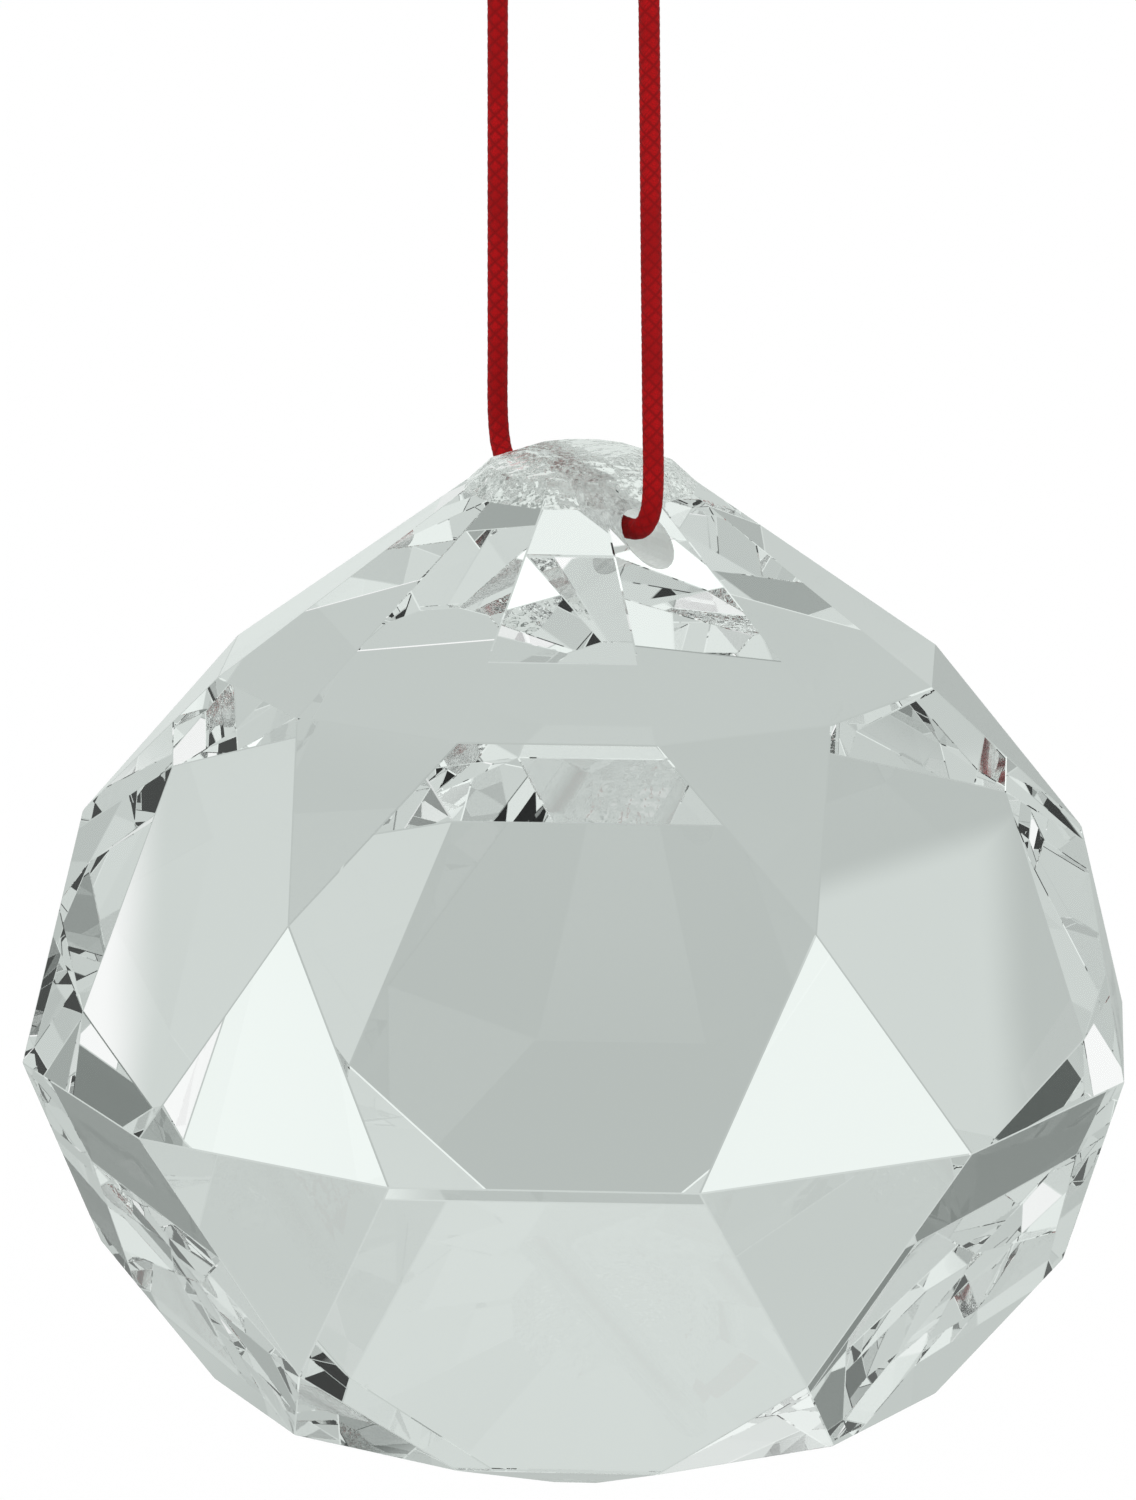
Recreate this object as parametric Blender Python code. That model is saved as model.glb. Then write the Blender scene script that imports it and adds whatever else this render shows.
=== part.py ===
"""A faceted glass crystal on a loop of thin red cord.

Metres, +Z up. The origin is where a hook bears, under the top of the cord's loop, and the crystal
hangs straight below it. Azimuths are counted from -Y, the crystal's front, towards +X.
"""

import math

import bmesh
import bpy
from mathutils import Vector

# The glass. Heights and depths are counted from the girdle, the crystal's widest ring of corners.
FOLDS = 6
GIRDLE_BELOW_HOOK = 0.04363
GIRDLE_RADIUS = 0.0200
UPPER_POINT_HEIGHT = 0.0079
SHOULDER_RADIUS = 0.0129
SHOULDER_HEIGHT = 0.0136
NECK_RADIUS = 0.00415
NECK_HEIGHT = 0.0199
NECK_EDGE_RADIUS = 0.0033
NECK_EDGE_HEIGHT = 0.0207
TOP_FACET_RADIUS = 0.0019
TOP_FACET_HEIGHT = 0.0212
LOWER_POINT_DEPTH = 0.0081
KEEL_RADIUS = 0.0133
KEEL_DEPTH = 0.0121
CULET_RADIUS = 0.0030
CULET_DEPTH = 0.0159

# The hole through the neck, for the cord.
HOLE_DIAMETER = 0.0017
HOLE_BELOW_TOP = 0.0022
HOLE_AZIMUTH = math.radians(30)
HOLE_SIDES = 24

# The cord. Its route lies in the upright plane of the hole, as (distance from the crystal's axis,
# height above the girdle), from the middle of the hole out of its front mouth, up, over the hook
# and down into the back mouth.
CORD_DIAMETER = 0.00073
CORD_STEP = 0.0009
CORD_ROUTE = [
    (0.00015, 0.01912),
    (0.00200, 0.01912),
    (0.00400, 0.01912),
    (0.00480, 0.01933),
    (0.00539, 0.01992),
    (0.00560, 0.02072),
    (0.00555, 0.02400),
    (0.00545, 0.02800),
    (0.00535, 0.03200),
    (0.00525, 0.03600),
    (0.00518, 0.03800),
    (0.00485, 0.04005),
    (0.00366, 0.04224),
    (0.00177, 0.04364),
    (0.00000, 0.04400),
    (-0.00224, 0.04364),
    (-0.00463, 0.04224),
    (-0.00615, 0.04005),
    (-0.00655, 0.03800),
    (-0.00656, 0.03600),
    (-0.00658, 0.03200),
    (-0.00660, 0.02800),
    (-0.00662, 0.02400),
    (-0.00660, 0.02112),
    (-0.00633, 0.02012),
    (-0.00560, 0.01939),
    (-0.00460, 0.01912),
    (-0.00240, 0.01912),
    (-0.00015, 0.01912),
]

# The knot that ties the cord's ends, on the back half of the loop's arch.
KNOT_PLACE = (-0.00463, 0.04224)
KNOT_RADIUS = 0.0013
KNOT_END_RADIUS = 0.0010
KNOT_LENGTH = 0.0026
KNOT_SIDES = 16
TAIL_LENGTH = 0.0030
TAIL_SIDES = 8
TAIL_SPREAD = math.radians(50)
CLEARANCE = 0.0003


def clear_scene():
    for old in list(bpy.data.objects):
        bpy.data.objects.remove(old, do_unlink=True)


def plain_material(name, colour, roughness, transmission=0.0):
    material = bpy.data.materials.new(name)
    material.use_nodes = True
    shader = material.node_tree.nodes["Principled BSDF"]
    shader.inputs["Base Color"].default_value = (*colour, 1.0)
    shader.inputs["Roughness"].default_value = roughness
    shader.inputs["Metallic"].default_value = 0.0
    shader.inputs["Transmission Weight"].default_value = transmission
    return material


def place_object(name, mesh, material):
    made = bpy.data.objects.new(name, mesh)
    bpy.context.scene.collection.objects.link(made)
    mesh.materials.append(material)
    return made


def hide_helper(helper):
    """A cutter or an added shape shows as wire and isn't part of the model."""
    helper.hide_render = True
    helper.display_type = "WIRE"


def boolean(target, helper, operation):
    modifier = target.modifiers.new(helper.name, "BOOLEAN")
    modifier.operation = operation
    modifier.solver = "EXACT"
    modifier.object = helper


def rod(name, start, end, diameter, sides):
    """A straight round helper solid from start to end."""
    bm = bmesh.new()
    along = end - start
    turned = along.to_track_quat("Z", "Y").to_matrix().to_4x4()
    turned.translation = (start + end) / 2
    bmesh.ops.create_cone(
        bm,
        cap_ends=True,
        segments=sides,
        radius1=diameter / 2,
        radius2=diameter / 2,
        depth=along.length,
        matrix=turned,
    )
    mesh = bpy.data.meshes.new(name)
    bm.to_mesh(mesh)
    bm.free()
    helper = bpy.data.objects.new(name, mesh)
    bpy.context.scene.collection.objects.link(helper)
    hide_helper(helper)
    return helper


# The crystal


def corner(radius, height, azimuth):
    """A point of the glass, its height counted from the girdle."""
    return Vector(
        (radius * math.sin(azimuth), -radius * math.cos(azimuth), height - GIRDLE_BELOW_HOOK)
    )


def ring(bm, radius, height, count, first):
    """count corners evenly round the axis, from the azimuth first."""
    turn = 2 * math.pi / count
    return [bm.verts.new(corner(radius, height, first + k * turn)) for k in range(count)]


def point_radius(end_radius, end_height, height):
    """How far out a triangle's point is, so that the six-sided facets beside it are flat."""
    half = math.pi / FOLDS / 2
    girdle_flat = GIRDLE_RADIUS * math.cos(half)
    end_flat = end_radius * math.cos(half)
    flat = girdle_flat + (end_flat - girdle_flat) * height / end_height
    return flat / math.cos(2 * half)


def belt(bm, girdle, points, end):
    """The facets between the girdle and the shoulder or the keel: a triangle at each point,
    a small one beyond it, and a six-sided facet between two points."""
    for k, point in enumerate(points):
        a = 2 * k
        b = a + 1
        c = (a + 2) % len(girdle)
        after = points[(k + 1) % FOLDS]
        bm.faces.new((girdle[a], girdle[b], point))
        bm.faces.new((end[b], end[a], point))
        bm.faces.new((girdle[b], girdle[c], after, end[c], end[b], point))


def band(bm, lower, upper):
    """Four-sided facets between two rings with as many corners."""
    for k, low in enumerate(lower):
        after = (k + 1) % len(lower)
        bm.faces.new((low, lower[after], upper[after], upper[k]))


def crystal_mesh():
    bm = bmesh.new()
    corners = 2 * FOLDS
    half = math.pi / corners
    girdle = ring(bm, GIRDLE_RADIUS, 0.0, corners, half)

    upper_radius = point_radius(SHOULDER_RADIUS, SHOULDER_HEIGHT, UPPER_POINT_HEIGHT)
    upper_points = ring(bm, upper_radius, UPPER_POINT_HEIGHT, FOLDS, 2 * half)
    shoulder = ring(bm, SHOULDER_RADIUS, SHOULDER_HEIGHT, corners, half)
    belt(bm, girdle, upper_points, shoulder)

    neck = ring(bm, NECK_RADIUS, NECK_HEIGHT, corners, half)
    neck_edge = ring(bm, NECK_EDGE_RADIUS, NECK_EDGE_HEIGHT, corners, half)
    top = ring(bm, TOP_FACET_RADIUS, TOP_FACET_HEIGHT, corners, half)
    band(bm, shoulder, neck)
    band(bm, neck, neck_edge)
    band(bm, neck_edge, top)
    bm.faces.new(top)

    lower_radius = point_radius(KEEL_RADIUS, KEEL_DEPTH, LOWER_POINT_DEPTH)
    lower_points = ring(bm, lower_radius, -LOWER_POINT_DEPTH, FOLDS, 2 * half)
    keel = ring(bm, KEEL_RADIUS, -KEEL_DEPTH, corners, half)
    belt(bm, girdle, lower_points, keel)

    culet = ring(bm, CULET_RADIUS, -CULET_DEPTH, corners, half)
    band(bm, culet, keel)
    bm.faces.new(culet)

    bmesh.ops.recalc_face_normals(bm, faces=bm.faces)
    mesh = bpy.data.meshes.new("crystal")
    bm.to_mesh(mesh)
    bm.free()
    return mesh


def make_crystal():
    glass = plain_material("clear_glass", (0.96, 0.98, 0.97), 0.02, 1.0)
    crystal = place_object("crystal", crystal_mesh(), glass)

    hole_height = TOP_FACET_HEIGHT - HOLE_BELOW_TOP
    reach = corner(2 * GIRDLE_RADIUS, hole_height, HOLE_AZIMUTH)
    far_side = corner(-2 * GIRDLE_RADIUS, hole_height, HOLE_AZIMUTH)
    drill = rod("hole_drill", far_side, reach, HOLE_DIAMETER, HOLE_SIDES)
    boolean(crystal, drill, "DIFFERENCE")
    return crystal


# The cord


def route_point(place):
    """A point of the hole's upright plane, in the model's frame."""
    out, height = place
    return corner(out, height, HOLE_AZIMUTH)


def smooth_line(points, samples=40):
    """Many points along the smooth curve through the given ones."""
    ends = [2 * points[0] - points[1], *points, 2 * points[-1] - points[-2]]
    line = []
    for before, start, stop, after in zip(ends, ends[1:], ends[2:], ends[3:]):
        knots = [0.0]
        for a, b in ((before, start), (start, stop), (stop, after)):
            knots.append(knots[-1] + math.sqrt((b - a).length))
        for k in range(samples):
            t = knots[1] + (knots[2] - knots[1]) * k / samples
            line.append(centripetal(before, start, stop, after, knots, t))
    line.append(points[-1].copy())
    return line


def centripetal(p0, p1, p2, p3, knots, t):
    """The centripetal Catmull-Rom curve's point at t, between p1 and p2."""

    def between(a, b, start, stop):
        share = (t - start) / (stop - start)
        return a.lerp(b, share)

    k0, k1, k2, k3 = knots
    a1 = between(p0, p1, k0, k1)
    a2 = between(p1, p2, k1, k2)
    a3 = between(p2, p3, k2, k3)
    b1 = between(a1, a2, k0, k2)
    b2 = between(a2, a3, k1, k3)
    return between(b1, b2, k1, k2)


def spaced(line, step):
    """The line again, with its points evenly spaced, about step apart."""
    along = [0.0]
    for a, b in zip(line, line[1:]):
        along.append(along[-1] + (b - a).length)
    count = max(2, round(along[-1] / step) + 1)
    spaced_line = []
    k = 0
    for n in range(count):
        target = along[-1] * n / (count - 1)
        while k < len(line) - 2 and along[k + 1] < target:
            k += 1
        share = (target - along[k]) / (along[k + 1] - along[k])
        spaced_line.append(line[k].lerp(line[k + 1], min(share, 1.0)))
    return spaced_line


def tube(name, points, diameter, material):
    """A round cord with closed ends through the points."""
    curve = bpy.data.curves.new(name, "CURVE")
    curve.dimensions = "3D"
    curve.bevel_depth = diameter / 2
    curve.bevel_resolution = 2
    curve.resolution_u = 1
    curve.render_resolution_u = 0
    curve.use_fill_caps = True
    spline = curve.splines.new("POLY")
    spline.points.add(len(points) - 1)
    for target, point in zip(spline.points, points):
        target.co = (*point, 1.0)
    return place_object(name, curve, material)


def make_cord(material):
    line = smooth_line([route_point(place) for place in CORD_ROUTE])
    return tube("cord", spaced(line, CORD_STEP), CORD_DIAMETER, material)


def knot_frame():
    """The knot's middle on the cord, and its directions along the cord, outwards and sideways."""
    line = smooth_line([route_point(place) for place in CORD_ROUTE])
    target = route_point(KNOT_PLACE)
    nearest = min(range(1, len(line) - 1), key=lambda k: (line[k] - target).length)
    along = (line[nearest + 1] - line[nearest - 1]).normalized()
    side = Vector((math.cos(HOLE_AZIMUTH), math.sin(HOLE_AZIMUTH), 0.0))
    outwards = side.cross(along).normalized()
    if outwards.z < 0:
        outwards.negate()
    return line[nearest], along, outwards, side


def make_knot(material):
    """A barrel of cord round the loop, and the cord's two short ends standing out of it."""
    middle, along, outwards, side = knot_frame()
    bore = CORD_DIAMETER / 2 + CLEARANCE
    half = KNOT_LENGTH / 2
    profile = [
        (-half, bore),
        (-half, KNOT_END_RADIUS),
        (-half / 2, KNOT_RADIUS),
        (half / 2, KNOT_RADIUS),
        (half, KNOT_END_RADIUS),
        (half, bore),
    ]
    bm = bmesh.new()
    rings = []
    for k in range(KNOT_SIDES):
        turn = 2 * math.pi * k / KNOT_SIDES
        spoke = outwards * math.cos(turn) + side * math.sin(turn)
        rings.append([bm.verts.new(middle + along * x + spoke * r) for x, r in profile])
    for k, here in enumerate(rings):
        after = rings[(k + 1) % KNOT_SIDES]
        for n in range(len(profile)):
            following = (n + 1) % len(profile)
            bm.faces.new((here[n], here[following], after[following], after[n]))
    bmesh.ops.recalc_face_normals(bm, faces=bm.faces)
    mesh = bpy.data.meshes.new("knot")
    bm.to_mesh(mesh)
    bm.free()
    knot = place_object("knot", mesh, material)

    tail_root = (bore + KNOT_RADIUS) / 2 + CORD_DIAMETER / 8
    for name, sign in (("front_tail", 1), ("back_tail", -1)):
        lean = sign * TAIL_SPREAD
        direction = outwards * math.cos(lean) + (along + side) * math.sin(lean) / math.sqrt(2)
        start = middle + along * sign * half / 3 + outwards * tail_root
        tail = rod(name, start, start + direction * TAIL_LENGTH, CORD_DIAMETER, TAIL_SIDES)
        boolean(knot, tail, "UNION")
    return knot


clear_scene()
red_cord = plain_material("red_cord", (0.32, 0.01, 0.02), 0.7)
make_crystal()
make_cord(red_cord)
make_knot(red_cord)
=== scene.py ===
# %% [markdown]
# # A cut glass ball on a red cord
#
# The real object is one piece of clear lead glass with flat polished facets, a short drilled neck and
# a loop of thin dark red cord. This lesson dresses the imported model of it: the model's shapes are
# fixed, so what is left to make is the glass, the braid of the cord, the knot, and the studio whose
# light the facets break up. Everything is in metres, with +Z up, and the origin is where a hook
# bears, under the top of the cord's loop.

# %% Load the frame
import math

import bmesh
import bpy
from mathutils import Matrix, Vector


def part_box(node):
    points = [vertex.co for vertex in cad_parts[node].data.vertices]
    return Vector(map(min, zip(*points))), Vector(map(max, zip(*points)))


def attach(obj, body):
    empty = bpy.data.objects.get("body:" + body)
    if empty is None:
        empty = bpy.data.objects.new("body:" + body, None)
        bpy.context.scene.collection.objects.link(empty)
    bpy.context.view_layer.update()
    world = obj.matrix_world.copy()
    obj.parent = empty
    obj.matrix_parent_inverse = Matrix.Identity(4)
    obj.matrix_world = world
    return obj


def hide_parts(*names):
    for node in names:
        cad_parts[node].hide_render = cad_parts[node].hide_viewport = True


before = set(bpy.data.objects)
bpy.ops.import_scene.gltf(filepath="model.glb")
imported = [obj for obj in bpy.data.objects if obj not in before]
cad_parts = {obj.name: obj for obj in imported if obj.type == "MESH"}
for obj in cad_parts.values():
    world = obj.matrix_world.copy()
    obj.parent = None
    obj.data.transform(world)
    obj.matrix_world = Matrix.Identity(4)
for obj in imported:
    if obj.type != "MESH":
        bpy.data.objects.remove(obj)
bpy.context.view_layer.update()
crystal_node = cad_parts["crystal"]
glass_low, glass_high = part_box("crystal")
print("the glass reaches from", tuple(glass_low), "to", tuple(glass_high))

# %% [markdown]
# ## The camera
#
# The photograph looks a little down on the ball from close by. A camera could be placed by eye, but
# here its place was solved from the corners of the facets, so each number below has a plain meaning:
# how far away the lens is, how far round the axis, and how far above the ball's widest ring, the
# girdle. The lens is long and the picture upright, so the sensor is fitted to the picture's height.

# %% The camera
GIRDLE_BELOW_TOP = 0.0212
GIRDLE_Z = glass_high.z - GIRDLE_BELOW_TOP
CAMERA_DISTANCE = 0.2735
CAMERA_ROUND = math.radians(3.56)
CAMERA_ABOVE = math.radians(15.83)
CAMERA_HEADING = math.radians(3.654)
CAMERA_PITCH = math.radians(13.72)
SENSOR_HEIGHT = 36.0
FOCAL_LENGTH = 184.03


def make_camera():
    """The camera at the photograph's place, looking the photograph's way."""
    data = bpy.data.cameras.new("camera")
    data.sensor_fit = "VERTICAL"
    data.sensor_height = SENSOR_HEIGHT
    data.lens = FOCAL_LENGTH
    data.clip_start = 0.01
    camera = bpy.data.objects.new("camera", data)
    bpy.context.scene.collection.objects.link(camera)
    level = CAMERA_DISTANCE * math.cos(CAMERA_ABOVE)
    camera.location = (
        level * math.sin(CAMERA_ROUND),
        -level * math.cos(CAMERA_ROUND),
        GIRDLE_Z + CAMERA_DISTANCE * math.sin(CAMERA_ABOVE),
    )
    camera.rotation_euler = (math.pi / 2 - CAMERA_PITCH, 0.0, CAMERA_HEADING)
    bpy.context.scene.camera = camera
    return camera


camera = make_camera()
print("the camera stands at", tuple(round(value, 4) for value in camera.location))

# %% [markdown]
# ## The cord's route
#
# The cord is threaded through the glass and hangs over a hook outside the picture, so both strands are
# taut. Its route is given point by point, in the upright plane of the drilled hole: each
# point is a distance from the ball's axis and a height above the girdle. A centripetal Catmull-Rom
# curve through the points bends like a cord, without the overshoot of a plain one.

# %% The cord's route
HOLE_ROUND = math.radians(30)
CORD_DIAMETER = 0.00073
CORD_ROUTE = [
    (0.00001, 0.01912),
    (0.00200, 0.01912),
    (0.00400, 0.01912),
    (0.00480, 0.01933),
    (0.00539, 0.01992),
    (0.00560, 0.02072),
    (0.00555, 0.02400),
    (0.00545, 0.02800),
    (0.00535, 0.03200),
    (0.00525, 0.03600),
    (0.00518, 0.03800),
    (0.00485, 0.04005),
    (0.00366, 0.04224),
    (0.00177, 0.04364),
    (0.00000, 0.04400),
    (-0.00224, 0.04364),
    (-0.00463, 0.04224),
    (-0.00615, 0.04005),
    (-0.00655, 0.03800),
    (-0.00656, 0.03600),
    (-0.00658, 0.03200),
    (-0.00660, 0.02800),
    (-0.00662, 0.02400),
    (-0.00660, 0.02112),
    (-0.00633, 0.02012),
    (-0.00560, 0.01939),
    (-0.00460, 0.01912),
    (-0.00240, 0.01912),
    (-0.00001, 0.01912),
]
hole_outwards = Vector((math.sin(HOLE_ROUND), -math.cos(HOLE_ROUND), 0.0))


def route_point(place):
    """A point of the hole's upright plane, in the model's frame."""
    out, height = place
    return hole_outwards * out + Vector((0.0, 0.0, GIRDLE_Z + height))


def smooth_line(points, samples=40):
    """Many points along the centripetal Catmull-Rom curve through the given ones."""
    ends = [2 * points[0] - points[1], *points, 2 * points[-1] - points[-2]]
    line = []
    for p0, p1, p2, p3 in zip(ends, ends[1:], ends[2:], ends[3:]):
        k1 = math.sqrt((p1 - p0).length)
        k2 = k1 + math.sqrt((p2 - p1).length)
        k3 = k2 + math.sqrt((p3 - p2).length)
        for step in range(samples):
            t = k1 + (k2 - k1) * step / samples
            a1 = p0.lerp(p1, t / k1)
            a2 = p1.lerp(p2, (t - k1) / (k2 - k1))
            a3 = p2.lerp(p3, (t - k2) / (k3 - k2))
            b1 = a1.lerp(a2, t / k2)
            b2 = a2.lerp(a3, (t - k1) / (k3 - k1))
            line.append(b1.lerp(b2, (t - k1) / (k2 - k1)))
    line.append(points[-1].copy())
    return line


def line_length(line):
    return sum((b - a).length for a, b in zip(line, line[1:]))


def spaced(line, step):
    """The line again, with evenly spaced points, about step apart."""
    along = [0.0]
    for a, b in zip(line, line[1:]):
        along.append(along[-1] + (b - a).length)
    count = max(2, round(along[-1] / step) + 1)
    even = []
    k = 0
    for n in range(count):
        target = along[-1] * n / (count - 1)
        while k < len(line) - 2 and along[k + 1] < target:
            k += 1
        share = (target - along[k]) / (along[k + 1] - along[k])
        even.append(line[k].lerp(line[k + 1], min(share, 1.0)))
    return even


cord_line = smooth_line([route_point(place) for place in CORD_ROUTE])

# %% [markdown]
# ## A braided tube
#
# Thin craft cord is a braid: eight yarns run round it, four each way, each passing over and under
# the others. A bump map could fake it, but the outline would stay smooth, so the braid is in the
# mesh. The tube's surface is cut into a lattice of diamonds. In every second diamond a yarn of the
# one way lies on top, in the others one of the other way, and each is crowned across the yarn and dips
# at its ends, where the next yarn crosses it.

# %% A braided tube
YARNS_EACH_WAY = 4
BRAID_PITCH = 0.0021
YARN_RELIEF = 0.00002
RING_STEP = 0.00007
RING_POINTS = 32


def braid_height(turn, along):
    """The relief of the braid, from 0 to 1, at a share of a turn and a distance along the cord."""
    a = YARNS_EACH_WAY * (turn + along / BRAID_PITCH)
    b = YARNS_EACH_WAY * (turn - along / BRAID_PITCH)
    across = 2 * (a % 1.0) - 1
    beside = 2 * (b % 1.0) - 1
    if (math.floor(a) + math.floor(b)) % 2:
        across, beside = beside, across
    return max(0.0, 1 - 0.95 * across**2 - 0.35 * beside**4)


def carried_frames(line):
    """A direction square to the line at each of its points, carried along without twisting."""
    tangents = []
    for k in range(len(line)):
        before = line[max(k - 1, 0)]
        after = line[min(k + 1, len(line) - 1)]
        tangents.append((after - before).normalized())
    side = tangents[0].orthogonal().normalized()
    frames = []
    for k, tangent in enumerate(tangents):
        if k:
            side = tangents[k - 1].rotation_difference(tangent) @ side
        side = (side - tangent * side.dot(tangent)).normalized()
        frames.append((tangent, side, tangent.cross(side)))
    return frames


def braided_tube(name, line, diameter):
    """A closed tube along the line, with the braid's relief and a UV map of turns and lengths."""
    frames = carried_frames(line)
    total = line_length(line)
    bm = bmesh.new()
    uv_map = bm.loops.layers.uv.new("UVMap")
    rings = []
    along = 0.0
    for k, (point, (_, side, up)) in enumerate(zip(line, frames)):
        if k:
            along += (point - line[k - 1]).length
        from_end = min(along, total - along) / (diameter / 2)
        rounding = math.sqrt(max(0.0, 1 - (1 - min(from_end, 1.0)) ** 2))
        ring = []
        for n in range(RING_POINTS):
            turn = n / RING_POINTS
            relief = YARN_RELIEF * (braid_height(turn, along) - 0.75)
            radius = (diameter / 2 + relief) * max(rounding, 0.12)
            angle = 2 * math.pi * turn
            spoke = side * math.cos(angle) + up * math.sin(angle)
            ring.append(bm.verts.new(point + spoke * radius))
        rings.append((along, ring))
    for (start, here), (stop, after) in zip(rings, rings[1:]):
        for n in range(RING_POINTS):
            m = (n + 1) % RING_POINTS
            face = bm.faces.new((here[n], here[m], after[m], after[n]))
            face.smooth = True
            places = ((n, start), (n + 1, start), (n + 1, stop), (n, stop))
            for loop, (u, v) in zip(face.loops, places):
                loop[uv_map].uv = (u / RING_POINTS, v / BRAID_PITCH)
    bm.faces.new(list(reversed(rings[0][1])))
    bm.faces.new(rings[-1][1])
    bmesh.ops.recalc_face_normals(bm, faces=bm.faces)
    mesh = bpy.data.meshes.new(name)
    bm.to_mesh(mesh)
    bm.free()
    piece = bpy.data.objects.new(name, mesh)
    bpy.context.scene.collection.objects.link(piece)
    print(name, "has", len(mesh.polygons), "faces")
    return piece


# %% Braid the cord
fine_cord_line = spaced(cord_line, RING_STEP)
braided_cord = braided_tube("braided_cord", fine_cord_line, CORD_DIAMETER)

# %% [markdown]
# ## The knot
#
# One end of the cord is wound round the other strand and pulled tight, so the knot is a short barrel of
# three turns with two cut ends standing out. A helix worked out by a loop makes the turns, and a tail
# at each end of it leaves sideways, as stiff short ends do.

# %% The knot
KNOT_PLACE = (-0.00463, 0.04224)
KNOT_TURNS = 3
KNOT_POINTS_A_TURN = 16
KNOT_PITCH = 0.00066
KNOT_WINDING_RADIUS = 0.00073
TAIL_REACH = 0.0030
TAIL_POINTS = 5


def knot_line():
    """The winding end's route: out of one tail, round the cord, and into the other tail."""
    target = route_point(KNOT_PLACE)
    nearest = min(range(1, len(cord_line) - 1), key=lambda k: (cord_line[k] - target).length)
    middle = cord_line[nearest]
    tangent = (cord_line[nearest + 1] - cord_line[nearest - 1]).normalized()
    side = Vector((math.cos(HOLE_ROUND), math.sin(HOLE_ROUND), 0.0))
    outwards = side.cross(tangent).normalized()
    if outwards.z < 0:
        outwards.negate()
    side = outwards.cross(tangent)

    def wound(turn):
        angle = 2 * math.pi * turn
        spoke = outwards * math.cos(angle) + side * math.sin(angle)
        lift = tangent * KNOT_PITCH * (turn - KNOT_TURNS / 2)
        return middle + spoke * KNOT_WINDING_RADIUS + lift

    count = KNOT_TURNS * KNOT_POINTS_A_TURN
    winding = [wound(KNOT_TURNS * k / count) for k in range(count + 1)]
    first_way = (outwards * 0.9 - side * 0.6 - tangent * 0.5).normalized()
    last_way = (outwards * 0.8 + side * 0.7 + tangent * 0.6).normalized()
    reach = [TAIL_REACH * (k + 1) / TAIL_POINTS for k in range(TAIL_POINTS)]
    first_tail = [winding[0] + first_way * distance for distance in reversed(reach)]
    last_tail = [winding[-1] + last_way * distance for distance in reach]
    return smooth_line(first_tail + winding + last_tail, samples=6)


wound_knot = braided_tube("wound_knot", spaced(knot_line(), RING_STEP), CORD_DIAMETER)

# %% [markdown]
# ## The cut glass
#
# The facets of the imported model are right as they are. What a grinder also leaves is a hair-thin
# polished edge between two facets, and a drilled hole that is never polished, so it stays grey and
# frosted. The glass is therefore a copy of the node: its loose triangles are joined and merged back
# into flat facets, and the wall of the hole gets a finish of its own.

# %% The cut glass
FLAT_WITHIN = math.radians(0.5)
HOLE_RADIUS = 0.00085
HOLE_BELOW_TOP = 0.0022
HOLE_WALL_WITHIN = HOLE_RADIUS * 1.05
CLEAR_OF_HOLE = HOLE_RADIUS * 1.6
SAME_POINT = 0.000001
EDGE_SET_BACK = 0.000035
SHORTEST_EDGE = 0.0006
LEAST_CREASE = math.radians(2)
NECK_BELOW_TOP = 0.0013

hole_middle = Vector((0.0, 0.0, glass_high.z - HOLE_BELOW_TOP))


def from_hole(point):
    """How far a point is from the hole's own axis."""
    gap = point - hole_middle
    return (gap - hole_outwards * gap.dot(hole_outwards)).length


def polish_edges(bm):
    """Cut a hair-thin polished facet along every edge that stays clear of the hole."""
    edges = [
        edge
        for edge in bm.edges
        if edge.calc_length() > SHORTEST_EDGE
        and min(from_hole(vert.co) for vert in edge.verts) > CLEAR_OF_HOLE
        and edge.calc_face_angle() > LEAST_CREASE
    ]
    bmesh.ops.bevel(
        bm, geom=edges, offset=EDGE_SET_BACK, offset_type="OFFSET", segments=1, profile=0.5,
        affect="EDGES", clamp_overlap=False, material=-1,
    )
    print("polished", len(edges), "edges")


def make_cut_glass():
    """The crystal node again, as joined facets. Slot 1 is the hole's wall, slot 2 the neck's rim."""
    bm = bmesh.new()
    bm.from_mesh(crystal_node.data)
    bmesh.ops.remove_doubles(bm, verts=bm.verts, dist=SAME_POINT)
    bmesh.ops.dissolve_limit(bm, angle_limit=FLAT_WITHIN, verts=bm.verts, edges=bm.edges)
    polish_edges(bm)
    bmesh.ops.recalc_face_normals(bm, faces=bm.faces)
    for face in bm.faces:
        face.smooth = False
        face.material_index = 0
        if face.calc_center_median().z > glass_high.z - NECK_BELOW_TOP:
            face.material_index = 2
        if max(from_hole(vert.co) for vert in face.verts) < HOLE_WALL_WITHIN:
            face.material_index = 1
    bore_faces = sum(face.material_index == 1 for face in bm.faces)
    print("the glass has", len(bm.faces), "facets,", bore_faces, "of them in the hole")
    mesh = bpy.data.meshes.new("cut_glass")
    bm.to_mesh(mesh)
    bm.free()
    piece = bpy.data.objects.new("cut_glass", mesh)
    bpy.context.scene.collection.objects.link(piece)
    return piece


cut_glass = make_cut_glass()

# %% [markdown]
# ## Short words for nodes
#
# Every finish below is a small tree of nodes. Written out in full, each node takes four or five lines,
# so these helpers make one node each and hand back its output, which can go straight into the next.

# %% Helpers for nodes


def wire(tree, value, socket):
    """Put a number, or the output of another node, into a socket."""
    if isinstance(value, bpy.types.NodeSocket):
        tree.links.new(value, socket)
    else:
        socket.default_value = value


def calc(tree, operation, *values):
    """The output of a Math node."""
    node = tree.nodes.new("ShaderNodeMath")
    node.operation = operation
    for value, socket in zip(values, node.inputs):
        wire(tree, value, socket)
    return node.outputs[0]


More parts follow.
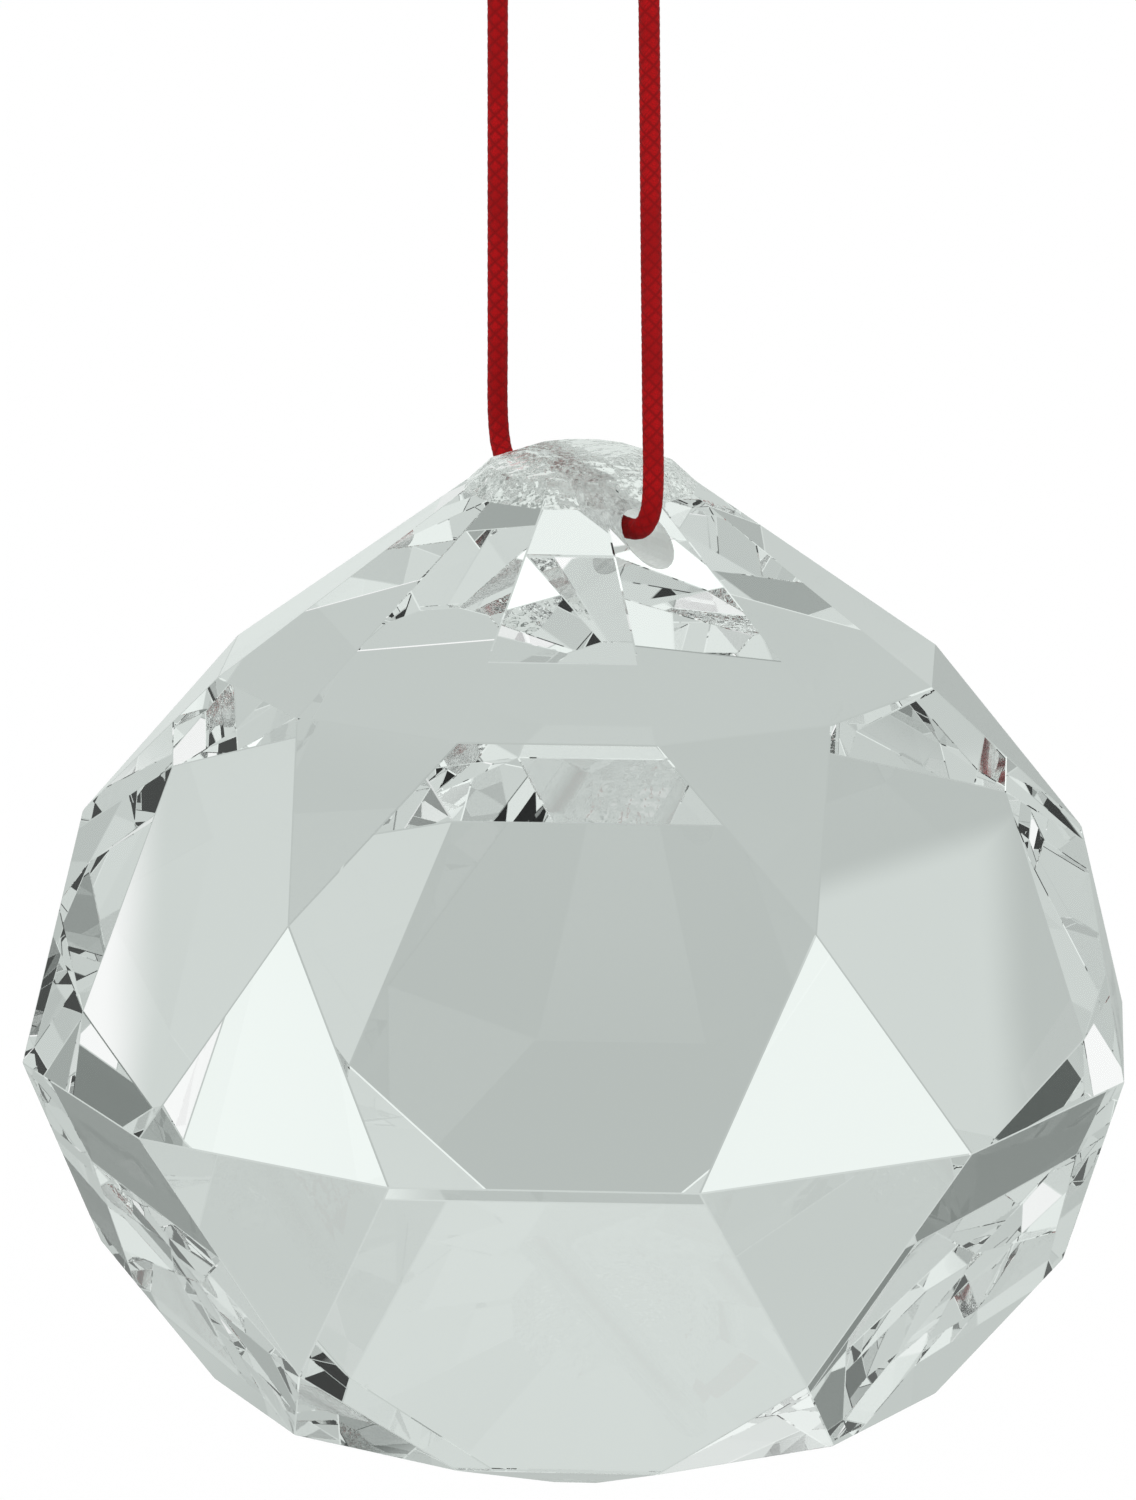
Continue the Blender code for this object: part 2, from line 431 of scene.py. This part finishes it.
def dot(tree, first, second):
    """The output of a Vector Math node that takes a dot product."""
    node = tree.nodes.new("ShaderNodeVectorMath")
    node.operation = "DOT_PRODUCT"
    wire(tree, first, node.inputs[0])
    wire(tree, second, node.inputs[1])
    return node.outputs["Value"]


def blend(tree, share, under, over):
    """The output of a Mix node for colours."""
    node = tree.nodes.new("ShaderNodeMix")
    node.data_type = "RGBA"
    wire(tree, share, node.inputs[0])
    wire(tree, under, node.inputs[6])
    wire(tree, over, node.inputs[7])
    return node.outputs[2]


def ranged(tree, value, low, high, to_low=0.0, to_high=1.0, steps="SMOOTHSTEP"):
    """The output of a Map Range node."""
    node = tree.nodes.new("ShaderNodeMapRange")
    node.interpolation_type = steps
    for given, name in (
        (value, "Value"), (low, "From Min"), (high, "From Max"), (to_low, "To Min"), (to_high, "To Max")
    ):
        wire(tree, given, node.inputs[name])
    return node.outputs["Result"]


def noise(tree, place, scale, detail=1.0, roughness=0.5):
    """The height of a Noise texture, about 0 to 1."""
    node = tree.nodes.new("ShaderNodeTexNoise")
    node.inputs["Scale"].default_value = scale
    node.inputs["Detail"].default_value = detail
    node.inputs["Roughness"].default_value = roughness
    tree.links.new(place, node.inputs["Vector"])
    return node.outputs[0]


def bumped(tree, height, distance, shader, strength=1.0):
    """Feed a height, in shares of a distance in metres, to the shader's normal."""
    node = tree.nodes.new("ShaderNodeBump")
    node.inputs["Strength"].default_value = strength
    node.inputs["Distance"].default_value = distance
    tree.links.new(height, node.inputs["Height"])
    tree.links.new(node.outputs[0], shader.inputs["Normal"])


# %% [markdown]
# ## The finish of the glass
#
# Clear crystal is one Principled shader with full transmission, which is simpler and truer than mixing
# a glass shader with a gloss. Its index is that of good optical glass. A facet polished on a wheel is
# never quite flat, so a faint slow bump wavers it by less than a tenth of a degree, just enough to
# soften what shows through. The rounded rim of the neck is only fire polished, and has deep ripples
# that scatter the light in small grey specks. The hole's wall is ground and frosted.

# %% The finish of the glass
GLASS_INDEX = 1.54
FACET_WAVER = 0.000002
NECK_RIPPLE = 0.0004


def new_material(name):
    material = bpy.data.materials.new(name)
    material.use_nodes = True
    return material, material.node_tree.nodes["Principled BSDF"]


def object_place(tree):
    return tree.nodes.new("ShaderNodeTexCoord").outputs["Object"]


def clear_crystal():
    """Polished facets: clear, with a faint waver."""
    material, shader = new_material("clear_crystal")
    shader.inputs["Base Color"].default_value = (0.985, 0.995, 0.99, 1.0)
    shader.inputs["Roughness"].default_value = 0.0
    shader.inputs["IOR"].default_value = GLASS_INDEX
    shader.inputs["Transmission Weight"].default_value = 1.0
    tree = material.node_tree
    bumped(tree, noise(tree, object_place(tree), 160.0, detail=0.0), FACET_WAVER, shader)
    return material


def rippled_neck():
    """The fire polished rim: clear, with deep uneven ripples."""
    material, shader = new_material("rippled_neck")
    shader.inputs["Base Color"].default_value = (0.96, 0.975, 0.955, 1.0)
    shader.inputs["Roughness"].default_value = 0.015
    shader.inputs["IOR"].default_value = GLASS_INDEX
    shader.inputs["Transmission Weight"].default_value = 1.0
    tree = material.node_tree
    place = object_place(tree)
    coarse = noise(tree, place, 700.0)
    fine = noise(tree, place, 2600.0)
    height = calc(tree, "MULTIPLY_ADD", fine, 0.4, coarse)
    bumped(tree, height, NECK_RIPPLE, shader)
    return material


def ground_glass():
    """The wall of the drilled hole: frosted, with a fine grain."""
    material, shader = new_material("ground_glass")
    shader.inputs["Base Color"].default_value = (0.92, 0.93, 0.91, 1.0)
    shader.inputs["IOR"].default_value = GLASS_INDEX
    shader.inputs["Transmission Weight"].default_value = 1.0
    tree = material.node_tree
    grain = noise(tree, object_place(tree), 6000.0, detail=2.0)
    wire(tree, ranged(tree, grain, 0.3, 0.7, 0.35, 0.6), shader.inputs["Roughness"])
    bumped(tree, grain, 0.00002, shader)
    return material


for finish in (clear_crystal(), ground_glass(), rippled_neck()):
    cut_glass.data.materials.append(finish)
    print("finished", finish.name)

# %% [markdown]
# ## The finish of the cord
#
# Polyester craft cord is dyed right through, so its colour is deep and even, and what shows is the
# shade between the yarns and the fine threads that run along each of them. That shade is painted shade:
# the braid's diamonds are known from the tube's own map, so the same sum that shaped the mesh darkens
# the colour here. The threads are a noise drawn out along the yarns. The cord is matt: very little
# gloss, and a thin red sheen.

# %% The finish of the cord


def red_braid():
    """Deep red yarns, with painted shade where they dip under each other, and fine threads along them.
    """
    material, shader = new_material("red_braid")
    tree = material.node_tree
    links = tree.links
    parts = tree.nodes.new("ShaderNodeSeparateXYZ")
    links.new(tree.nodes.new("ShaderNodeTexCoord").outputs["UV"], parts.inputs[0])
    turn, along = parts.outputs["X"], parts.outputs["Y"]
    one_way = calc(tree, "MULTIPLY", calc(tree, "ADD", turn, along), YARNS_EACH_WAY)
    other_way = calc(tree, "MULTIPLY", calc(tree, "SUBTRACT", turn, along), YARNS_EACH_WAY)
    floors = calc(tree, "ADD", calc(tree, "FLOOR", one_way), calc(tree, "FLOOR", other_way))
    crossed = calc(tree, "FLOORED_MODULO", floors, 2.0)

    def centred(value):
        """A share of a diamond, from -1 on one side to 1 on the other."""
        share = calc(tree, "SUBTRACT", value, calc(tree, "FLOOR", value))
        return calc(tree, "MULTIPLY_ADD", share, 2.0, -1.0)

    first, second = centred(one_way), centred(other_way)
    gap = calc(tree, "SUBTRACT", second, first)
    across = calc(tree, "MULTIPLY_ADD", gap, crossed, first)
    beside = calc(tree, "MULTIPLY_ADD", gap, calc(tree, "MULTIPLY", crossed, -1.0), second)
    to_edge = calc(tree, "MAXIMUM", calc(tree, "ABSOLUTE", across), calc(tree, "ABSOLUTE", beside))
    # painted shade: the colour darkens towards each diamond's edge, where the yarns dip under each other
    painted_yarn_shade = ranged(tree, to_edge, 0.55, 1.0)
    yarn_place = tree.nodes.new("ShaderNodeCombineXYZ")
    links.new(calc(tree, "MULTIPLY", across, 3.0), yarn_place.inputs["X"])
    links.new(calc(tree, "MULTIPLY", beside, 0.6), yarn_place.inputs["Y"])
    links.new(calc(tree, "MULTIPLY", floors, 1.7), yarn_place.inputs["Z"])
    threads = noise(tree, yarn_place.outputs[0], 2.5, detail=2.0)
    patches = noise(tree, object_place(tree), 500.0)
    bright = blend(tree, ranged(tree, patches, 0.3, 0.7), (0.30, 0.0012, 0.0025, 1.0),
                   (0.42, 0.0020, 0.0040, 1.0))
    threaded = blend(tree, ranged(tree, threads, 0.35, 0.65), (0.24, 0.0008, 0.0020, 1.0), bright)
    # the darker red is the painted shade between the yarns
    colour = blend(tree, painted_yarn_shade, threaded, (0.21, 0.0008, 0.0020, 1.0))
    links.new(colour, shader.inputs["Base Color"])
    links.new(ranged(tree, threads, 0.2, 0.8, 0.6, 0.85), shader.inputs["Roughness"])
    shader.inputs["Specular IOR Level"].default_value = 0.12
    shader.inputs["Sheen Weight"].default_value = 0.05
    shader.inputs["Sheen Roughness"].default_value = 0.4
    shader.inputs["Sheen Tint"].default_value = (0.6, 0.05, 0.06, 1.0)
    bumped(tree, threads, 0.000012, shader)
    return material


red = red_braid()
braided_cord.data.materials.append(red)
wound_knot.data.materials.append(red)

# %% [markdown]
# ## The floor
#
# The floor is a plain pale sheet far below, wide enough to fill the picture's background. Glass shows
# whatever stands behind and under it, and one even sheet would leave it blank, so the floor is hidden
# from the light that passes through glass or mirrors in it: the facets look past it, into the studio.

# %% The floor
FLOOR_BELOW_GLASS = 0.10
FLOOR_HALF_WIDTH = 20.0


def make_floor():
    """A wide pale sheet that diffuse light and the camera see, and glass doesn't."""
    mesh = bpy.data.meshes.new("floor")
    bm = bmesh.new()
    place = Matrix.Translation((0.0, 0.0, glass_low.z - FLOOR_BELOW_GLASS))
    bmesh.ops.create_grid(bm, x_segments=1, y_segments=1, size=FLOOR_HALF_WIDTH, matrix=place)
    bm.to_mesh(mesh)
    bm.free()
    floor = bpy.data.objects.new("floor", mesh)
    bpy.context.scene.collection.objects.link(floor)
    floor.visible_transmission = False
    floor.visible_glossy = False
    material, shader = new_material("pale_floor")
    shader.inputs["Base Color"].default_value = (0.9, 0.9, 0.9, 1.0)
    shader.inputs["Roughness"].default_value = 0.8
    shader.inputs["Specular IOR Level"].default_value = 0.0
    floor.data.materials.append(material)
    return floor


floor = make_floor()
print("the floor lies", FLOOR_BELOW_GLASS, "m under the glass")

# %% [markdown]
# ## One soft panel of light
#
# A cut glass photographed on white shows its facets only because the room round it isn't white all
# over: it has grey walls, bright soft lights and dark flags. Lamps could stand there as objects, but
# their light would also fall on everything else. So the room is painted on the world, as flat soft
# edged panels. One panel is a group of nodes: it takes the direction in which a ray leaves, measures
# how far that is from the panel's middle, across and upwards in degrees, and lays its colour over
# what is under it.

# %% The panel group
PANEL_INPUTS = {
    "Direction": "NodeSocketVector",
    "Middle": "NodeSocketVector",
    "Right": "NodeSocketVector",
    "Up": "NodeSocketVector",
    "Half Width": "NodeSocketFloat",
    "Half Height": "NodeSocketFloat",
    "Softness": "NodeSocketFloat",
    "Colour": "NodeSocketColor",
    "Under": "NodeSocketColor",
}


def make_panel_group():
    """A node group that lays one soft panel over what is under it."""
    tree = bpy.data.node_groups.new("soft panel", "ShaderNodeTree")
    for name, kind in PANEL_INPUTS.items():
        tree.interface.new_socket(name, in_out="INPUT", socket_type=kind)
    tree.interface.new_socket("Over", in_out="OUTPUT", socket_type="NodeSocketColor")
    given = tree.nodes.new("NodeGroupInput").outputs
    ahead = calc(tree, "MAXIMUM", dot(tree, given["Direction"], given["Middle"]), 0.0001)
    across = calc(tree, "DIVIDE", dot(tree, given["Direction"], given["Right"]), ahead)
    upwards = calc(tree, "DIVIDE", dot(tree, given["Direction"], given["Up"]), ahead)
    spare_width = calc(tree, "SUBTRACT", given["Half Width"], calc(tree, "ABSOLUTE", across))
    spare_height = calc(tree, "SUBTRACT", given["Half Height"], calc(tree, "ABSOLUTE", upwards))
    spare = calc(tree, "MINIMUM", spare_width, spare_height)
    outside = calc(tree, "MULTIPLY", given["Softness"], -0.5)
    inside = calc(tree, "MULTIPLY", given["Softness"], 0.5)
    mask = ranged(tree, spare, outside, inside)
    result = tree.nodes.new("NodeGroupOutput")
    tree.links.new(blend(tree, mask, given["Under"], given["Colour"]), result.inputs["Over"])
    return tree


panel_group = make_panel_group()
print("one panel is", len(panel_group.nodes), "nodes")

# %% Directions and paints


def paint(red, green, blue):
    """A light's colour from the numbers of a paint chart, 0 to 255."""
    shares = (red / 255, green / 255, blue / 255)
    return tuple(s / 12.92 if s <= 0.04045 else ((s + 0.055) / 1.055) ** 2.4 for s in shares) + (1.0,)


def grey(value):
    """A grey of the paint chart, a touch cooler than a neutral one."""
    return paint(value - 3, value + 3, value)


def panel_axes(round_deg, up_deg):
    """A panel's middle, and its right and up scaled to degrees. Round is 0 behind the ball."""
    around = math.radians(round_deg)
    above = math.radians(up_deg)
    middle = Vector((
        math.cos(above) * math.sin(around),
        math.cos(above) * math.cos(around),
        math.sin(above),
    ))
    right = Vector((math.cos(around), -math.sin(around), 0.0))
    up = right.cross(middle)
    return middle, right * math.degrees(1.0), up * math.degrees(1.0)


BRIGHT = grey(270)
WHITE = paint(255, 255, 255)
PALE = grey(245)
LIGHT_GREY = grey(212)
MID_GREY = grey(155)
DARK_GREY = grey(110)
DEEP_GREY = grey(60)
BLACK = grey(12)
print("the studio is painted in eight plain tones")

# %% [markdown]
# ## The room's walls
#
# The walls are a smooth ramp of cool greys from straight down, -90 degrees, to straight up. What the
# camera sees through the middle of the ball is the wall just under the horizon, and the lower facets
# show the part above it, so these greys set the ground tone of the whole ball.

# %% The room's walls
WALLS = [
    (-90, grey(245)),
    (-60, grey(240)),
    (-45, grey(200)),
    (-30, grey(195)),
    (-15, grey(185)),
    (-5, grey(205)),
    (3, grey(215)),
    (9, grey(200)),
    (20, grey(215)),
    (30, grey(200)),
    (45, grey(195)),
    (60, grey(225)),
    (90, grey(245)),
]
print("the walls have", len(WALLS), "greys")

# %% [markdown]
# ## The room's soft lights and flags
#
# Glass is lit by what it shows, so the set is that of a glass photographer: broad soft lights for the
# bright facets, and flags, which are dark cards, for the contrast between them. They are all of a few
# plain tones. A name says where a panel stands from the ball: behind it, to a side, or on
# the camera's side, and floor and ceiling mean steeply down or up. Each is its name, how far round and
# how high its middle is, its width and height, how soft its edge is, all in degrees, and its colour.

# %% The room's soft lights and flags
STUDIO = [
    ("strip light behind", -3, -8, 36, 5, 1, PALE),
    ("soft light left", 33, -20, 14, 14, 3, LIGHT_GREY),
    ("soft window left", 31, -20, 2.5, 6, 0.3, WHITE),
    ("soft window right", -38.5, -20, 2, 6, 0.3, LIGHT_GREY),
    ("soft light left inner", 14, -21, 9, 6, 2, LIGHT_GREY),
    ("dark flag right", -46, -11, 9, 6, 2, DARK_GREY),
    ("dark flag left", 40, -8, 7, 6, 2, DARK_GREY),
    ("white card left", 37, -12, 3, 3, 1, WHITE),
    ("black flag right", -35, -12, 2, 2, 1, BLACK),
    ("dark flag high", 106, 42, 14, 12, 3, DARK_GREY),
    ("deep flag left", 96, -14, 9, 4, 1, DEEP_GREY),
    ("deep flag camera side", -173, -12, 14, 8, 2, DEEP_GREY),
    ("black flag camera side", -175, -22, 7, 5, 1, BLACK),
    ("light card camera side", 165, -27, 6, 4, 2, LIGHT_GREY),
    ("white card camera side", 175, -16, 7, 7, 1, WHITE),
    ("dark flag low left", 78, -37, 10, 8, 2, DARK_GREY),
    ("dark flag beside camera", 147, 11, 10, 8, 2, DARK_GREY),
    ("deep flag above it", 163, 18, 12, 7, 3, DEEP_GREY),
    ("dark flag behind high", -27, 15, 4, 3, 1, DARK_GREY),
    ("grey floor left", 62, -54, 10, 8, 2, MID_GREY),
    ("pale floor left", 53, -47, 8, 8, 2, PALE),
    ("black flag left", 67, 20, 9, 9, 1, BLACK),
    ("deep ceiling flag", 24, 58, 12, 10, 2, DEEP_GREY),
    ("grey card high", 137, 28, 10, 6, 2, MID_GREY),
    ("white ceiling", 8, 46, 10, 6, 2, WHITE),
    ("white ceiling behind", -8, 60, 14, 10, 2, WHITE),
    ("grey flag low right", -127, -24, 14, 12, 3, MID_GREY),
    ("white floor left", 16, -50, 16, 12, 4, WHITE),
    ("white floor", -5, -41, 14, 6, 2, WHITE),
    ("grey side left", 67, -39, 9, 10, 2, MID_GREY),
    ("grey side right", -68, -34, 16, 14, 3, MID_GREY),
    ("grey floor right", -37, -57, 10, 8, 2, MID_GREY),
    ("white floor far left", 33, -60, 14, 10, 3, WHITE),
    ("bright light over camera", 176, 31, 17, 8, 2, BRIGHT),
    ("white light right of camera", 145, 32, 6, 6, 2, WHITE),
    ("white light left of camera", -143, 30, 9, 9, 2, WHITE),
    ("grey flag over camera", 161, 42, 10, 7, 2, MID_GREY),
    ("grey floor far right", -98, -47, 10, 8, 2, MID_GREY),
    ("deep card right", -118, 26, 7, 5, 2, DEEP_GREY),
    ("light card right", -111, 33, 10, 4, 2, LIGHT_GREY),
    ("soft light high right", -55, 29, 12, 10, 2, PALE),
    ("dark flag behind low", 0, 27, 14, 3, 1, DARK_GREY),
    ("white card low left", 133, 12, 9, 8, 2, WHITE),
    ("grey floor behind camera", 162, -64, 12, 10, 3, MID_GREY),
    ("grey flag behind", -22, -49, 7, 6, 2, MID_GREY),
]
print(len(STUDIO), "soft lights and flags in the room")

# %% [markdown]
# ## Paint the studio
#
# Each ray from the glass would have to ask every panel, so the room is split into eighths by the signs
# of the ray's direction, and an eighth holds only the panels that reach into it. The camera sees plain
# white behind the piece, and the matt cord is lit by an even light with a soft one from the front.

# %% Paint the studio
SIDE_LIGHT = 0.62
FRONT_LIGHT = 1.03
FRONT_WAY = Vector((0.1, -0.75, 0.65)).normalized()
CORNER_STEPS = 3


def touched_corners(panel):
    """The eighths of the room that a panel reaches into, as signs of x, y and z."""
    _, around, above, width, height, softness, _ = panel
    middle, right, up = panel_axes(around, above)
    corners = set()
    for i in range(-CORNER_STEPS, CORNER_STEPS + 1):
        for j in range(-CORNER_STEPS, CORNER_STEPS + 1):
            upwards = (height + softness) / 2 * j / CORNER_STEPS
            across = (width + softness) / 2 * i / CORNER_STEPS
            toward = middle + (right * across + up * upwards) / math.degrees(1.0) ** 2
            corners.add(tuple(value > 0 for value in toward))
    return corners


def lay_panels(tree, direction, under, corner):
    """The panels that reach into one eighth of the room, each over the last."""
    for panel in STUDIO:
        if corner not in touched_corners(panel):
            continue
        name, around, above, width, height, softness, colour = panel
        node = tree.nodes.new("ShaderNodeGroup")
        node.node_tree = panel_group
        node.label = name
        middle, right, up = panel_axes(around, above)
        wire(tree, direction, node.inputs["Direction"])
        wire(tree, middle, node.inputs["Middle"])
        wire(tree, right, node.inputs["Right"])
        wire(tree, up, node.inputs["Up"])
        wire(tree, width / 2, node.inputs["Half Width"])
        wire(tree, height / 2, node.inputs["Half Height"])
        wire(tree, softness, node.inputs["Softness"])
        wire(tree, colour, node.inputs["Colour"])
        wire(tree, under, node.inputs["Under"])
        under = node.outputs["Over"]
    return under


def background(tree, colour, strength):
    node = tree.nodes.new("ShaderNodeBackground")
    wire(tree, colour, node.inputs["Color"])
    node.inputs["Strength"].default_value = strength
    return node.outputs[0]


def choose(tree, share, first, second):
    """The output of a Mix Shader node."""
    node = tree.nodes.new("ShaderNodeMixShader")
    tree.links.new(share, node.inputs[0])
    tree.links.new(first, node.inputs[1])
    tree.links.new(second, node.inputs[2])
    return node.outputs[0]


def make_world():
    """White for the camera, even light for the matt surfaces, and the painted room for the glass."""
    world = bpy.data.worlds.new("studio")
    world.use_nodes = True
    world.cycles.sampling_method = "NONE"
    tree = world.node_tree
    tree.nodes.clear()
    direction = tree.nodes.new("ShaderNodeTexCoord").outputs["Generated"]
    parts = tree.nodes.new("ShaderNodeSeparateXYZ")
    tree.links.new(direction, parts.inputs[0])
    above = calc(tree, "ARCSINE", parts.outputs["Z"])
    walls = tree.nodes.new("ShaderNodeValToRGB")
    share = calc(tree, "MULTIPLY_ADD", above, 1 / math.pi, 0.5)
    tree.links.new(share, walls.inputs[0])
    ramp = walls.color_ramp
    for k, (height, colour) in enumerate(WALLS):
        place = (height + 90) / 180
        stop = ramp.elements[k] if k < 2 else ramp.elements.new(place)
        stop.position = place
        stop.color = colour
    signs = [calc(tree, "GREATER_THAN", part, 0.0) for part in parts.outputs]

    def room(corner):
        """The room's light, split again and again until only one eighth of it is left."""
        if len(corner) == 3:
            colour = lay_panels(tree, direction, walls.outputs["Color"], corner)
            return background(tree, colour, 1.0)
        return choose(tree, signs[len(corner)], room(corner + (False,)), room(corner + (True,)))

    rays = tree.nodes.new("ShaderNodeLightPath").outputs
    facing = calc(tree, "MAXIMUM", dot(tree, direction, FRONT_WAY), 0.0)
    lit = calc(tree, "MULTIPLY_ADD", facing, FRONT_LIGHT, SIDE_LIGHT)
    soft_light = tree.nodes.new("ShaderNodeCombineColor")
    for socket in soft_light.inputs[:3]:
        tree.links.new(lit, socket)
    matt = background(tree, soft_light.outputs[0], 1.0)
    seen = choose(tree, rays["Is Diffuse Ray"], room(()), matt)
    seen = choose(tree, rays["Is Camera Ray"], seen, background(tree, WHITE, 1.0))
    result = tree.nodes.new("ShaderNodeOutputWorld")
    tree.links.new(seen, result.inputs["Surface"])
    bpy.context.scene.world = world
    return world


world = make_world()
print("the world has", len(world.node_tree.nodes), "nodes")

# %% [markdown]
# ## Light paths
#
# In cut glass most light turns round inside several times before it leaves, and a path that is cut
# short comes out black. So the number of bounces is raised. The view transform is the plain one, so
# that a white background stays white.

# %% Light paths
GLASS_BOUNCES = 14
scene = bpy.context.scene
scene.cycles.max_bounces = GLASS_BOUNCES
scene.cycles.transmission_bounces = GLASS_BOUNCES
scene.cycles.glossy_bounces = GLASS_BOUNCES
scene.view_settings.view_transform = "Standard"

# %% [markdown]
# ## What rides and what replaces
#
# Nothing moves on this object, so every piece rides on its one body and stands in for the imported piece
# it is paired with, which is hidden.

# %% What rides and what replaces
for piece, node, slot in (
    (cut_glass, "crystal", "clear_crystal"),
    (braided_cord, "cord", "red_cord"),
    (wound_knot, "knot", "red_cord"),
):
    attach(piece, "root")
    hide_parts(node)
